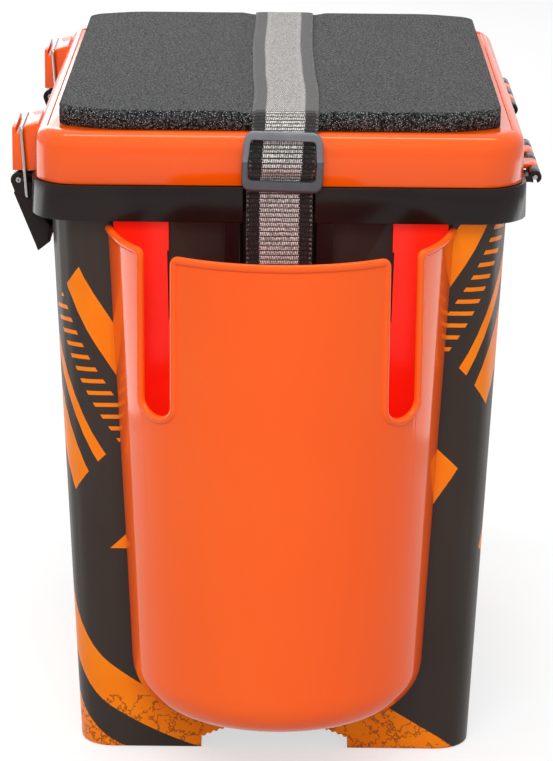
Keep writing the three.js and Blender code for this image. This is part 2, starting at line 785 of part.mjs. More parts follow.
// Strap: layers lie outside the lid's front face, the slider outside them
const strapFrom = strapCentre - strapWidth / 2;
const strapTo = strapCentre + strapWidth / 2;
const layer = strapThickness + touchGap;
const loopY = -lidY - strapStandOff - strapThickness / 2;
const runY = loopY - layer;
const sliderBack = runY - strapThickness / 2 - touchGap;
const sliderZ = partingHeight + sliderCentreRise;
const barY = sliderBack - crossBarThickness / 2;
const barDiagonal = Math.hypot(crossBarThickness, crossBarThickness);
const wrapRadius = barDiagonal / 2 + (touchGap + strapThickness) / 2;
const tiltLift = strapWidth / 2 * Math.tan(THREE.MathUtils.degToRad(sliderTilt));
const wrapZ = sliderZ + (crossBarHeight - crossBarThickness) / 2 + tiltLift;
const loopFrontY = barY - wrapRadius;
const bulgeY = loopFrontY - layer;
const windowEnd = sliderHeight / 2 - sliderBar - windowEase;
const strapLow = partingHeight + touchGap;
const strapJoinZ = partingHeight - touchGap;
const rearY = lidY + touchGap + strapThickness / 2;
const strapTopZ = padTop + touchGap + strapThickness / 2;
const at = (a, b) => new THREE.Vector2(a, b);

function band(path) {
  return toGeometry(prismX(bandOutline(path, strapThickness), strapFrom, strapTo));
}

const overLid = bentPath([
  at(runY, strapLow), at(runY, sliderZ - windowEnd),
  at(bulgeY, sliderZ - crossBarHeight), at(bulgeY, sliderZ + crossBarHeight),
  at(runY, sliderZ + windowEnd), at(runY, lidTopZ + touchGap),
  at(-padY - strapBend / 2, strapTopZ), at(padY + strapBend / 2, strapTopZ),
  at(rearY, lidTopZ), at(rearY, strapLow),
], strapBend);
addPiece('strap_over_lid', band(overLid), webbing);

const loopTop = [];
for (let step = 0; step <= edgeSteps * 2; step += 1) {
  const angle = step / (edgeSteps * 2) * Math.PI;
  loopTop.push(at(barY + wrapRadius * Math.cos(angle), wrapZ + wrapRadius * Math.sin(angle)));
}
const sliderLoop = [
  at(loopY, strapLow), at(loopY, sliderZ + windowEase - windowEnd),
  ...loopTop, at(loopFrontY, sliderZ - loopTail),
];
addPiece('strap_slider_loop', band(sliderLoop), webbing);

// Webbing round an anchor bar, from one place above it to another
function anchorTurn(end, first, last) {
  const radius = anchorRadius + touchGap + strapThickness / 2;
  const turn = [first];
  for (let step = 0; step <= edgeSteps * 2; step += 1) {
    const angle = Math.PI * step / (edgeSteps * 2);
    turn.push(at(end * (anchorY + radius * Math.cos(angle)), anchorZ - radius * Math.sin(angle)));
  }
  return [...turn, last];
}

const frontFall = anchorTurn(-1, at(runY, strapJoinZ), at(loopY, strapJoinZ));
addPiece('strap_front_fall', band(frontFall), webbing);

const sewnEnd = anchorZ + sewnLength;
const sewnShare = sewnLength / (strapJoinZ - anchorZ);
const outerTangent = anchorY + anchorRadius + touchGap + strapThickness / 2;
const sewnY = outerTangent + (rearY - outerTangent) * sewnShare - layer;
const rearFall = anchorTurn(1, at(rearY, strapJoinZ), at(sewnY, sewnEnd));
addPiece('strap_rear_fall', band(rearFall), webbing);

for (const [name, end] of [['strap_anchor_front', -1], ['strap_anchor_rear', 1]]) {
  const reach = postX + postWidth - touchGap;
  addPiece(name, toGeometry(rodAlongX(end * anchorY, anchorZ, anchorRadius, -reach, reach)), steel);
}

// Slider: a rounded frame with a cross bar that the webbing is looped over
function roundedShape(kind, width, height, radius) {
  const x = width / 2;
  const z = height / 2;
  const shape = new kind();
  shape.absarc(x - radius, z - radius, radius, 0, Math.PI / 2, false);
  shape.absarc(radius - x, z - radius, radius, Math.PI / 2, Math.PI, false);
  shape.absarc(radius - x, radius - z, radius, Math.PI, Math.PI * 3 / 2, false);
  shape.absarc(x - radius, radius - z, radius, Math.PI * 3 / 2, Math.PI * 2, false);
  return shape;
}

function sliderSolid() {
  const frame = roundedShape(THREE.Shape, sliderWidth, sliderHeight, sliderCorner);
  frame.holes.push(roundedShape(THREE.Path, sliderWidth - sliderSide * 2, sliderHeight - sliderBar * 2,
    sliderCorner - sliderSide));
  const turn = new THREE.Matrix4().makeBasis(
    new THREE.Vector3(1, 0, 0), new THREE.Vector3(0, 0, 1), new THREE.Vector3(0, -1, 0));
  const plain = sliderThickness - sliderBevel * 2;
  const body = toSolid(extruded(frame, plain, sliderBevel).translate(0, 0, sliderBevel).applyMatrix4(turn));
  const half = sliderWidth / 2 - sliderSide / 2;
  return body.add(block(-half, half, -crossBarThickness, 0, -crossBarHeight / 2, crossBarHeight / 2));
}

const slider = addPiece('strap_slider', toGeometry(sliderSolid()), greyPlastic);
slider.rotation.y = THREE.MathUtils.degToRad(sliderTilt);
slider.position.set(strapCentre, sliderBack, sliderZ);

// The origin stands on the floor under the middle of the whole outline
const reachBox = new THREE.Box3().setFromObject(seatBox, true);
seatBox.position.set(-(reachBox.min.x + reachBox.max.x) / 2, -(reachBox.min.y + reachBox.max.y) / 2, 0);

export default seatBox;
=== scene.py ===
import math

import bmesh
import bpy
from mathutils import Matrix, Vector


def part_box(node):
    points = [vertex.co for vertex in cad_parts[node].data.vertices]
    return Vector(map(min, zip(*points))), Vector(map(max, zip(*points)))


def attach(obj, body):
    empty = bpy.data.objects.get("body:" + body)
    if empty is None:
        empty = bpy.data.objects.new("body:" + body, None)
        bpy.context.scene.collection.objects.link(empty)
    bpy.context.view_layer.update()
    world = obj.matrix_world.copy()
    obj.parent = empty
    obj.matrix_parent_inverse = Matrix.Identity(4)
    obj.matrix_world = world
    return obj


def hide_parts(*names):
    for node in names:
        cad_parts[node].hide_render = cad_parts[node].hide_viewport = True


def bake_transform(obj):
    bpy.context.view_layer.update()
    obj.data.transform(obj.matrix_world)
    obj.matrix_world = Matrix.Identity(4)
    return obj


# Fishing seat box: black tapered tub, orange lid with a foam pad, toggle latches, strap and hang-on pocket.
# The scene is in metres and most sizes below in millimetres. The frame is the model's own: +Z is up, the
# pocket end faces -Y, the latches are at -X and the hinges at +X.

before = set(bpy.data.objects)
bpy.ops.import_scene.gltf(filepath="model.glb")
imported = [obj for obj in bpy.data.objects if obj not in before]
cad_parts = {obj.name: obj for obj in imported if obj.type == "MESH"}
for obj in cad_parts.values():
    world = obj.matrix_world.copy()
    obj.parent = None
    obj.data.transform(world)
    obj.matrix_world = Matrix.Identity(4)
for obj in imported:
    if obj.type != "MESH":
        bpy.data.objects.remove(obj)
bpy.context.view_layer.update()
MM = 0.001


def box_mm(node):
    """The node's lowest and highest corners in millimetres."""
    return [Vector(corner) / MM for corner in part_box(node)]


PAD_LOW, PAD_HIGH = box_mm("seat_pad")
LID_LOW, LID_HIGH = box_mm("lid")
MIDDLE = (PAD_LOW + PAD_HIGH) / 2

# Sizes of the moulded tub that the print and the pocket follow, in millimetres
RIM_X, RIM_Y = 142.5, 193
FOOT_INSET = 25.4
DRAFT = 14.7 / 330.4
FOOT_CORNER, CORNER_GROWTH = 20, 4 / 351

# Sizes of the webbing in millimetres, and two lanes along it in metres from its middle
STRAP_WIDTH, STRAP_THICK = 37.5, 1.4
RIB, YARN = 2.8, 1.05
BAND_HALF = 11.3
SIDE_LANE, LOOP_LANE = (0.0086, 0.02), (0.0174, 0.019)

# The print: bands and starts as shares of their period, slants and slopes as ratios, the rest in metres
BLADE_SLANT, BLADE_PERIOD = 1.55, 0.245
SOLID_BANDS = ((0.06, 0.2), (0.27, 0.32), (0.56, 0.68))
HATCHED_BAND, HATCH_PITCH, HATCH_SHARE = (0.4, 0.5), 0.0072, 0.34
END_SLANT, END_PERIOD, END_START, END_BAND = 0.95, 0.19, 0.32, (0.12, 0.8)
LEFT_RISE, LEFT_END = 0.047, 0.06
CLEAR_REACH, CLEAR_HEIGHT = 0.076, 0.2
SWEEP_AROUND, SWEEP_HEIGHT, SWEEP_BAND, SWEEP_REST = 0.022, 0.205, (0.193, 0.215), 0.233
SWEEP_TOP, BLADE_FOOT, FALL_REACH, FALL_SLOPE = 0.118, 0.128, 0.13, 0.5
WEDGE_REACH, WEDGE_SLOPE = 0.112, 0.62
FILM_TOP, FILM_DEPTH, MARBLED_TOP = 0.3345, 0.0011, 0.034


def tone(red, green, blue):
    """An sRGB colour of 0 to 255 as the linear colour that shaders take."""
    def linear(value):
        share = value / 255
        return share / 12.92 if share <= 0.04045 else ((share + 0.055) / 1.055) ** 2.4
    return (linear(red), linear(green), linear(blue), 1.0)


# Materials

class Shade:
    """A value in a material. Arithmetic on it makes Math nodes."""

    def __init__(self, finish, socket):
        self.finish = finish
        self.socket = socket

    def math(self, operation, *others):
        node = self.finish.tree.nodes.new("ShaderNodeMath")
        node.operation = operation
        for slot, value in zip(node.inputs, (self, *others)):
            self.finish.put(slot, value)
        return Shade(self.finish, node.outputs[0])

    def __add__(self, other):
        return self.math("ADD", other)

    def __mul__(self, other):
        return self.math("MULTIPLY", other)

    def __sub__(self, other):
        return self.math("SUBTRACT", other)

    def __rsub__(self, other):
        return (self * -1) + other

    def __truediv__(self, other):
        return self.math("DIVIDE", other)

    def __pow__(self, other):
        return self.math("POWER", other)

    def whole(self):
        return self.math("FLOOR")

    def part(self):
        return self.math("FRACT")

    def size(self):
        return self.math("ABSOLUTE")

    def sign(self):
        return self.math("SIGN")

    def least(self, other):
        return self.math("MINIMUM", other)

    def most(self, other):
        return self.math("MAXIMUM", other)

    def above(self, other):
        return self.math("GREATER_THAN", other)

    def below(self, other):
        return self.math("LESS_THAN", other)

    def between(self, low, high):
        return self.above(low) * self.below(high)

    def soft(self, low, high):
        """0 at low, 1 at high, eased between them."""
        eased = {"interpolation_type": "SMOOTHSTEP"}
        node = self.finish.node("MapRange", eased, Value=self, From_Min=low, From_Max=high)
        return Shade(self.finish, node.outputs[0])


class Finish:
    """A material of one Principled shader and the nodes that feed it."""

    def __init__(self, name, **sockets):
        self.material = bpy.data.materials.new(name)
        self.material.use_nodes = True
        self.tree = self.material.node_tree
        self.shader = self.tree.nodes["Principled BSDF"]
        self.feed(**sockets)

    def put(self, slot, value):
        """Links a Shade or a node's output to the slot, or sets the slot to a plain value."""
        if isinstance(value, Shade):
            self.tree.links.new(value.socket, slot)
        elif isinstance(value, bpy.types.NodeSocket):
            self.tree.links.new(value, slot)
        else:
            slot.default_value = value

    def node(self, kind, settings=None, **values):
        made = self.tree.nodes.new("ShaderNode" + kind)
        for key, value in (settings or {}).items():
            setattr(made, key, value)
        for key, value in values.items():
            self.put(made.inputs[key.replace("_", " ")], value)
        return made

    def feed(self, **sockets):
        for key, value in sockets.items():
            self.put(self.shader.inputs[key.replace("_", " ")], value)

    def split(self, coordinates):
        made = self.node("SeparateXYZ", None, Vector=self.node("TexCoord").outputs[coordinates])
        return [Shade(self, output) for output in made.outputs]

    def stretched(self, x, y, z):
        """Object coordinates, scaled by x, y and z."""
        place = self.node("TexCoord").outputs["Object"]
        return self.node("Mapping", None, Vector=place, Scale=(x, y, z)).outputs[0]

    def noise(self, scale, detail=2.0, roughness=0.5, coordinates=None):
        source = coordinates or self.node("TexCoord").outputs["Object"]
        made = self.node("TexNoise", None, Vector=source, Scale=scale, Detail=detail, Roughness=roughness)
        return Shade(self, made.outputs["Fac"])

    def cells(self, scale):
        source = self.node("TexCoord").outputs["Object"]
        made = self.node("TexVoronoi", None, Vector=source, Scale=scale)
        return Shade(self, made.outputs["Distance"])

    def mix(self, factor, first, second):
        made = self.node("Mix", {"data_type": "RGBA"})
        for index, value in ((0, factor), (6, first), (7, second)):
            self.put(made.inputs[index], value)
        return Shade(self, made.outputs[2])

    def bump(self, height, distance, strength=1.0):
        made = self.node("Bump", None, Height=height, Distance=distance, Strength=strength)
        self.feed(Normal=made.outputs[0])


def black_plastic(name):
    """Satin black moulding with faint flow marks."""
    finish = Finish(name, IOR=1.45, Specular_IOR_Level=0.16)
    flow = finish.noise(14, 3, 0.5, finish.stretched(1, 1, 0.3))
    finish.feed(Base_Color=finish.mix(flow.soft(0.35, 0.65), tone(28, 20, 18), tone(36, 27, 25)))
    finish.feed(Roughness=finish.noise(30, 4) * 0.14 + 0.22)
    finish.bump(finish.noise(2600, 1), 0.00003, 0.5)
    return finish.material


def wall_places(finish):
    """Distance round the tub's outer wall from its front middle, height, and 1 on that wall's face."""
    x, y, z = finish.split("Object")
    x = x - MIDDLE.x * MM
    y = y - MIDDLE.y * MM
    half_x = z * DRAFT + (RIM_X - FOOT_INSET) * MM
    half_y = z * DRAFT + (RIM_Y - FOOT_INSET) * MM
    corner = z * CORNER_GROWTH + FOOT_CORNER * MM
    out_x = x.size() - half_x + corner
    out_y = y.size() - half_y + corner
    round_part = (out_x.most(0) ** 2 + out_y.most(0) ** 2) ** 0.5
    depth = round_part + out_x.most(out_y).least(0) - corner
    across = x.size() + y.above(0) * (half_x - x.size()) * 2
    return x.sign() * (across + y + half_y), z, depth.size().below(FILM_DEPTH)


def printed_pattern(finish):
    """Slanted blades round the walls, some of them hatched, and two sweeps that run out at the foot."""
    around, height, on_wall = wall_places(finish)
    reach = around.size()
    left = around.below(0)
    rise = height - reach * BLADE_SLANT + left * LEFT_RISE
    ends = height + reach * END_SLANT + left * LEFT_END
    blade = (rise / BLADE_PERIOD + 4).part()
    broad, thin, middling = (blade.between(*band) for band in SOLID_BANDS)
    hatched = blade.between(*HATCHED_BAND) * (height / HATCH_PITCH).part().below(HATCH_SHARE)
    blades = (broad + thin + middling + hatched) * (ends / END_PERIOD + END_START).part().between(*END_BAND)
    clear = reach.above(CLEAR_REACH).most(height.below(CLEAR_HEIGHT))
    swing = ((around - SWEEP_AROUND) ** 2 + (height - SWEEP_HEIGHT) ** 2) ** 0.5
    fall = (reach - FALL_REACH).most(0) * FALL_SLOPE
    sweeps = (swing.between(*SWEEP_BAND) + swing.above(SWEEP_REST)) * left * height.below(SWEEP_TOP - fall)
    wedge = height.below((WEDGE_REACH - reach) * WEDGE_SLOPE) * (1 - left)
    low = sweeps.most(wedge)
    blades = blades * height.above(BLADE_FOOT - fall) * clear
    film = height.below(FILM_TOP) * on_wall
    return blades.most(low) * film, film, height


def printed_black(name):
    """The tub: satin black film with an orange pattern printed round the walls, marbled at the foot."""
    finish = Finish(name, IOR=1.45, Specular_IOR_Level=0.22)
    flow = finish.noise(14, 3, 0.5, finish.stretched(1, 1, 0.3))
    ink, film, height = printed_pattern(finish)
    bare = finish.mix(flow.soft(0.35, 0.65), tone(24, 17, 15), tone(32, 24, 22))
    printed = finish.mix(flow.soft(0.35, 0.65), tone(46, 38, 33), tone(56, 47, 42))
    marbled = (finish.noise(110, 4, 0.6) - 0.5).size().below(0.022) * height.below(MARBLED_TOP)
    orange = finish.mix(finish.noise(60, 3).soft(0.3, 0.7), tone(255, 130, 6), tone(255, 138, 12))
    worn = finish.mix(marbled, orange, tone(178, 88, 20))
    finish.feed(Base_Color=finish.mix(ink, finish.mix(film, bare, printed), worn))
    finish.feed(Roughness=finish.noise(40, 4) * 0.1 + film * 0.15 + 0.16)
    finish.bump(finish.noise(1500, 2) + ink * 0.3, 0.00004, 0.4)
    return finish.material


def orange_plastic(name, light, deep, rough, gloss, **glow):
    """Glossy moulded orange, very slightly uneven in colour and polish; any glow sockets given add a painted
    glow.
    """
    finish = Finish(name, IOR=1.46, Specular_IOR_Level=gloss, **glow)
    finish.feed(Base_Color=finish.mix(finish.noise(6, 2).soft(0.3, 0.7), light, deep))
    finish.feed(Roughness=finish.noise(40, 4) * 0.08 + rough)
    finish.bump(finish.noise(300, 2), 0.00003, 0.3)
    return finish.material


def foam_finish(name, cut):
    """Closed-cell foam: fine grain on the skin, open cells on the cut sides, with painted shade in the cell
    pits and painted glints as pale specks.
    """
    finish = Finish(name, Roughness=0.92, IOR=1.3, Specular_IOR_Level=0.3)
    grain = finish.noise(900, 3, 0.8)
    cell = finish.cells(700 if cut else 850)
    speck = finish.cells(1050)
    if cut:
        dark, light = tone(30, 33, 33), tone(88, 97, 98)
        pit_shade, glint = tone(10, 11, 11), tone(224, 240, 241)
    else:
        dark, light = tone(49, 49, 50), tone(109, 109, 110)
        pit_shade, glint = tone(20, 19, 19), tone(182, 181, 180)
    colour = finish.mix(grain.soft(0.4, 0.6), dark, light)
    # Painted shade darkens the cell pits, and painted glints give the pale specks
    colour = finish.mix(cell.above(0.56) * (0.8 if cut else 0.5), colour, pit_shade)
    colour = finish.mix(speck.below(0.19 if cut else 0.12), colour, glint)
    finish.feed(Base_Color=colour)
    finish.bump(cell * 0.6 + grain, 0.0008 if cut else 0.00035, 0.8)
    return finish.material


def steel_wire(name):
    """Bright drawn wire with fine marks along it."""
    finish = Finish(name, Base_Color=tone(168, 163, 160), Metallic=1.0)
    finish.feed(Roughness=finish.noise(900, 2, 0.5, finish.stretched(1, 1, 0.1)) * 0.16 + 0.22)
    return finish.material


def grey_plastic(name, lit_split_z):
    """Blue-grey moulding, its upper half painted paler as the lit half and its lower half painted darker as
    the shaded half.
    """
    finish = Finish(name, IOR=1.5, Specular_IOR_Level=0.6)
    height = finish.split("Object")[2]
    # Painted light and shade: the upper half is painted paler, the lower half darker, above and below the
    # split height
    upper = height.soft(lit_split_z - 0.0004, lit_split_z + 0.0004)
    drift = finish.noise(90, 3).soft(0.3, 0.7)
    low = finish.mix(drift, tone(62, 64, 69), tone(70, 72, 77))
    high = finish.mix(drift, tone(104, 107, 113), tone(116, 119, 125))
    finish.feed(Base_Color=finish.mix(upper, low, high))
    finish.feed(Roughness=finish.noise(200, 3) * 0.1 + 0.1)
    finish.bump(finish.noise(900, 2), 0.00003, 0.4)
    return finish.material


def webbing_finish(name):
    """Ribbed webbing, a pale band between black edges, laid out in the strip's own UV metres, with painted
    shade between the strokes and painted highlights on the edge loops.
    """
    finish = Finish(name, Roughness=0.8, IOR=1.4, Specular_IOR_Level=0.35, Sheen_Weight=0.25)
    across, along = finish.split("UV")[:2]
    rib = along / (RIB * MM)
    valley = (rib.part() - 0.5).size()
    step = (rib.whole() * 0.5).part()
    lane = (across - STRAP_WIDTH * MM / 2).size()
    ragged = (valley - 0.25) * 0.0022 + BAND_HALF * MM
    yarn = ((across / (YARN * MM) + step + rib.part() * 0.5).part() - 0.5).size()
    fleck = finish.noise(900, 2, 0.6)
    stroke = yarn.below(0.33) * valley.below(0.37)
    side = lane.between(*SIDE_LANE) * 0.35
    pale = finish.mix(fleck.soft(0.38, 0.62), tone(150, 147, 142), tone(240, 237, 232))
    pale = finish.mix(side, pale, tone(226, 220, 216))
    # Painted shade: the dark between the strokes, on the band and on the black edges, stands for shade in
    # the rib valleys and between the yarns
    band = finish.mix(stroke, tone(40, 32, 30), pale)
    black = finish.mix(stroke * fleck.soft(0.3, 0.7), tone(12, 10, 9), tone(60, 54, 51))
    # Painted highlights: the pale dots on the rib loops at the edges
    loops = lane.between(*LOOP_LANE) * valley.below(0.2) * fleck.above(0.52)
    black = finish.mix(loops, black, tone(128, 116, 108))
    finish.feed(Base_Color=finish.mix(lane.below(ragged), black, band))
    finish.bump(yarn * -0.4 - valley * 1.2 + fleck * 0.5, 0.0005, 0.8)
    return finish.material


BLACK = black_plastic("black_plastic_moulded")
TUB_BLACK = printed_black("black_plastic_printed")
ORANGE = orange_plastic("orange_plastic_moulded", tone(249, 93, 6), tone(245, 87, 4), 0.12, 0.44)
POCKET = orange_plastic("pocket_plastic_glossy", tone(255, 100, 27), tone(255, 94, 24), 0.05, 0.2)
# Inside of the pocket: a deeper red and a faint glow, painted light for the red light bounced round inside
# the pocket
POCKET_INSIDE_PAINTED_GLOW = orange_plastic("pocket_plastic_inside_painted_glow", tone(255, 46, 22), tone(255, 38, 18), 0.2, 0.3,
                               Emission_Color=tone(255, 30, 18), Emission_Strength=0.1)
FOAM_TOP = foam_finish("foam_skin", False)
FOAM_CUT = foam_finish("foam_cut", True)
STEEL = steel_wire("steel_wire")
WEBBING = webbing_finish("webbing_woven")


# Making pieces

def link(name, mesh):
    piece = bpy.data.objects.new(name, mesh)
    bpy.context.scene.collection.objects.link(piece)
    return piece


def drop(piece):
    """Takes a helper piece out of the scene with its data."""
    data = piece.data
    bpy.data.objects.remove(piece)
    store = bpy.data.curves if isinstance(data, bpy.types.Curve) else bpy.data.meshes
    store.remove(data)


def made(name, shape, flat=False):
    """The finished bmesh as an object, smooth unless flat."""
    mesh = bpy.data.meshes.new(name)
    shape.to_mesh(mesh)
    shape.free()
    mesh.polygons.foreach_set("use_smooth", [not flat] * len(mesh.polygons))
    mesh.update()
    return link(name, mesh)


def settled(piece, name):
    """A new object that holds the piece's mesh with its modifiers carried out."""
    graph = bpy.context.evaluated_depsgraph_get()
    graph.update()
    mesh = bpy.data.meshes.new_from_object(piece.evaluated_get(graph))
    drop(piece)
    mesh.polygons.foreach_set("use_smooth", [True] * len(mesh.polygons))
    return link(name, mesh)


def edges_rounded(piece, width, angle=28, segments=2):
    """Rounds the edges sharper than the angle in degrees by the width in millimetres."""
    rounding = piece.modifiers.new("edges", "BEVEL")
    rounding.width = width * MM
    rounding.segments = segments
    rounding.limit_method = "ANGLE"
    rounding.angle_limit = math.radians(angle)
    rounding.harden_normals = True
    rounding.use_clamp_overlap = False
    rounding.miter_outer = "MITER_ARC"


def finished(piece, materials, nodes, body=None):
    """Gives a piece its materials, hides the CAD nodes it stands for and hangs it from its body if one is
    given.
    """
    for material in materials:
        piece.data.materials.append(material)
    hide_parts(*nodes)
    if body:
        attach(piece, body)
    return piece


def thickened(shape, by):
    """Extrudes the flat shape by that vector."""
    raised = bmesh.ops.extrude_face_region(shape, geom=shape.faces[:])
    moved = [item for item in raised["geom"] if isinstance(item, bmesh.types.BMVert)]
    bmesh.ops.translate(shape, verts=moved, vec=by)
    bmesh.ops.recalc_face_normals(shape, faces=shape.faces)


def split(shape, place, across, shorten=False):
    """Cuts the shape along a plane, and takes away what lies beyond it if told to shorten."""
    everything = shape.verts[:] + shape.edges[:] + shape.faces[:]
    bmesh.ops.bisect_plane(shape, geom=everything, plane_co=place, plane_no=across, clear_outer=shorten)


def bevelled(shape, edges, radius, segments):
    """Rounds those edges of a flat-sided shape."""
    bmesh.ops.bevel(shape, geom=edges, offset=radius, offset_type="OFFSET", affect="EDGES",
                    segments=segments, profile=0.5, material=-1)


def divided(shape):
    """Divides many-sided faces while they are still flat."""
    bmesh.ops.triangulate(shape, faces=[face for face in shape.faces if len(face.verts) > 4])


# Vertices of a CAD copy join within this many metres, and its faces count as flat within these degrees
JOIN_DISTANCE, FLAT_ANGLE = 0.000002, 0.3


def dressed(node, material, body, width):
    """A copy of a CAD node with joined vertices, flat faces made whole and its edges rounded."""
    shape = bmesh.new()
    shape.from_mesh(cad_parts[node].data)
    bmesh.ops.remove_doubles(shape, verts=shape.verts, dist=JOIN_DISTANCE)
    flat = math.radians(FLAT_ANGLE)
    bmesh.ops.dissolve_limit(shape, angle_limit=flat, verts=shape.verts, edges=shape.edges)
    divided(shape)
    piece = made(node + "_finished", shape)
    edges_rounded(piece, width)
    return finished(piece, [material], [node], body)


def tube(name, points, radius):
    """A round bar of the given radius in millimetres through the points, with closed ends."""
    curve = bpy.data.curves.new(name, "CURVE")
    curve.dimensions = "3D"
    curve.bevel_depth = radius * MM
    curve.bevel_resolution = 6
    curve.use_fill_caps = True
    line = curve.splines.new("POLY")
    line.points.add(len(points) - 1)
    for place, point in zip(line.points, points):
        place.co = (*(Vector(point) * MM), 1)
    return settled(link(name + "_line", curve), name)


def bent(corners, bend, steps=8):
    """The corner points joined by straight runs and round bends."""
    corners = [Vector(corner) for corner in corners]
    path = [corners[0]]
    for before, here, after in zip(corners, corners[1:], corners[2:]):
        back, ahead = before - here, after - here
        reach = min(bend, back.length * 0.45, ahead.length * 0.45)
        start, stop = here + back.normalized() * reach, here + ahead.normalized() * reach
        for step in range(steps + 1):
            share = step / steps
            rest = 1 - share
            path.append(start * rest ** 2 + here * 2 * share * rest + stop * share ** 2)
    path.append(corners[-1])
    return path


def paced(path, pitch):
    """Points an even pitch apart along the path, each with its distance along it."""
    lengths = [0.0]
    for start, stop in zip(path, path[1:]):
        lengths.append(lengths[-1] + (stop - start).length)
    count = max(2, round(lengths[-1] / pitch))
    result = []
    leg = 0
    for step in range(count + 1):
        goal = lengths[-1] * step / count
        while leg + 2 < len(lengths) and lengths[leg + 1] < goal:
            leg += 1
        run = lengths[leg + 1] - lengths[leg]
        result.append((path[leg].lerp(path[leg + 1], (goal - lengths[leg]) / run), goal))
    return result


# Moulded pieces, pins and wire bails

WIRE_RADIUS, WIRE_BEND, BAIL_STUB = 1.25, 3, 5.1


def bail(end):
    """The wire bail, bent round the corners of the CAD node's own box."""
    low, high = box_mm("latch_bail_" + end)
    half = Vector((WIRE_RADIUS, WIRE_RADIUS, WIRE_RADIUS))
    low, high = low + half, high - half
    foot = [(high.x, y, low.z) for y in (low.y + BAIL_STUB, low.y, high.y, high.y - BAIL_STUB)]
    bar = [(low.x + WIRE_RADIUS, y, high.z) for y in (low.y, high.y)]
    path = bent([foot[0], foot[1], *bar, foot[2], foot[3]], WIRE_BEND)
    piece = tube("latch_bail_" + end + "_wire", path, WIRE_RADIUS)
    finished(piece, [STEEL], ["latch_bail_" + end], "latch_bail_" + end)


def moulded_pieces():
    """The rounded copies of the tub, lid, levers, pins and anchor bars, and the two wire bails."""
    dressed("tub", TUB_BLACK, "tub", 0.4)
    dressed("lid", ORANGE, "lid", 0.4)
    for end in ("front", "rear"):
        dressed("latch_lever_" + end, BLACK, "latch_lever_" + end, 0.35)
        dressed("latch_pivot_pin_" + end, STEEL, "tub", 0.15)
        dressed("hinge_pin_" + end, STEEL, "tub", 0.2)
        dressed("strap_anchor_" + end, STEEL, "tub", 0.3)
        bail(end)


# Pocket: a half-round scoop with beaded edges, turned about an upright axis just inside the tub's wall

POCKET_X = MIDDLE.x + 1.2
POCKET_TOP, POCKET_FLOOR, POCKET_FILLET = 323.6, 37, 25
POCKET_RADIUS, POCKET_FOOT_RADIUS, POCKET_WALL = 98.93, 86.43, 2.4
POCKET_GAP, AXIS_INSET = 0.4, 13
BEAD, BEAD_CORNER, BEAD_PROUD = 2.35, 3.2, 0.6
NOTCH_X, NOTCH_RADIUS, NOTCH_DEPTH = 68.6, 7.4, 96.5
EAR_RISE, EAR_FLARE, EAR_CURVE = 3.4, 1.6, 1.6
TONGUE_INNER, TONGUE_WIDTH, TONGUE_TOP = 64.2, 31.8, 344.5
TONGUE_ROOT = POCKET_TOP - 12
BACK_TOP = POCKET_TOP - 54
CUT_REACH, INNER_OVER, BACK_OVER = 150, 4, 5
TURN_STEPS, FILLET_STEPS, NOTCH_STEPS = 160, 12, 12
BEAD_PITCH, CLEAN_DISTANCE, POCKET_EDGE = 1.2, 0.02, 0.3


def wall_y(z):
    """Y of the tub's front wall at height z."""
    return MIDDLE.y - RIM_Y + FOOT_INSET - DRAFT * z


AXIS_Y = wall_y(POCKET_TOP) + AXIS_INSET


def scoop_radius(z):
    """Outer radius of the scoop at height z, above its rounded foot."""
    share = (z - POCKET_FLOOR - POCKET_FILLET) / (POCKET_TOP - POCKET_FLOOR - POCKET_FILLET)
    return POCKET_FOOT_RADIUS + (POCKET_RADIUS - POCKET_FOOT_RADIUS) * share


def scoop(name, shrink, top, gap):
    """A solid half-round scoop, the profile spun about the axis and cut along the tub's sloping wall."""
    shape = bmesh.new()
    fillet = POCKET_FILLET - shrink
    foot = scoop_radius(POCKET_FLOOR + POCKET_FILLET) - shrink
    profile = [(0, POCKET_FLOOR + shrink)]
    for step in range(FILLET_STEPS + 1):
        angle = step / FILLET_STEPS * math.pi / 2
        radius = foot - fillet * (1 - math.sin(angle))
        profile.append((radius, profile[0][1] + fillet * (1 - math.cos(angle))))
    profile += [(scoop_radius(top) - shrink, top), (0, top)]
    line = [shape.verts.new((POCKET_X + radius, AXIS_Y, z)) for radius, z in profile]
    rim = [shape.edges.new(pair) for pair in zip(line, line[1:])]
    bmesh.ops.spin(shape, geom=line + rim, cent=(POCKET_X, AXIS_Y, 0), axis=(0, 0, 1), dvec=(0, 0, 0),
                   angle=math.tau, steps=TURN_STEPS, use_merge=True)
    bmesh.ops.remove_doubles(shape, verts=shape.verts, dist=0.01)
    split(shape, (0, wall_y(0) - gap, 0), (0, 1, DRAFT), True)
    bmesh.ops.holes_fill(shape, edges=[edge for edge in shape.edges if edge.is_boundary])
    bmesh.ops.recalc_face_normals(shape, faces=shape.faces)
    return made(name, shape)


def notch_cutter(side, radius):
    """A bar of that radius with a round lower end, which cuts a notch from the front."""
    shape = bmesh.new()
    centre = POCKET_X + side * NOTCH_X
    middle_z = POCKET_TOP - NOTCH_DEPTH + NOTCH_RADIUS
    turn = Matrix.Rotation(math.pi / 2, 4, "X")
    bmesh.ops.create_circle(shape, cap_ends=True, segments=48, radius=radius, matrix=turn)
    upper = [vertex for vertex in shape.verts if vertex.co.z > 0.01]
    bmesh.ops.translate(shape, verts=upper, vec=(0, 0, CUT_REACH))
    for vertex in upper:
        vertex.co.x = math.copysign(radius, vertex.co.x) if abs(vertex.co.x) > 0.01 else 0
    thickened(shape, (0, -CUT_REACH, 0))
    bmesh.ops.translate(shape, verts=shape.verts, vec=(centre, AXIS_Y - AXIS_INSET * 2, middle_z))
    return made("notch_cutter", shape)


def block(name, low, high):
    """A plain box between two corners."""
    shape = bmesh.new()
    bmesh.ops.create_cube(shape, size=1)
    size = Vector(high) - Vector(low)
    bmesh.ops.scale(shape, verts=shape.verts, vec=size)
    bmesh.ops.translate(shape, verts=shape.verts, vec=(Vector(low) + Vector(high)) / 2)
    return made(name, shape)


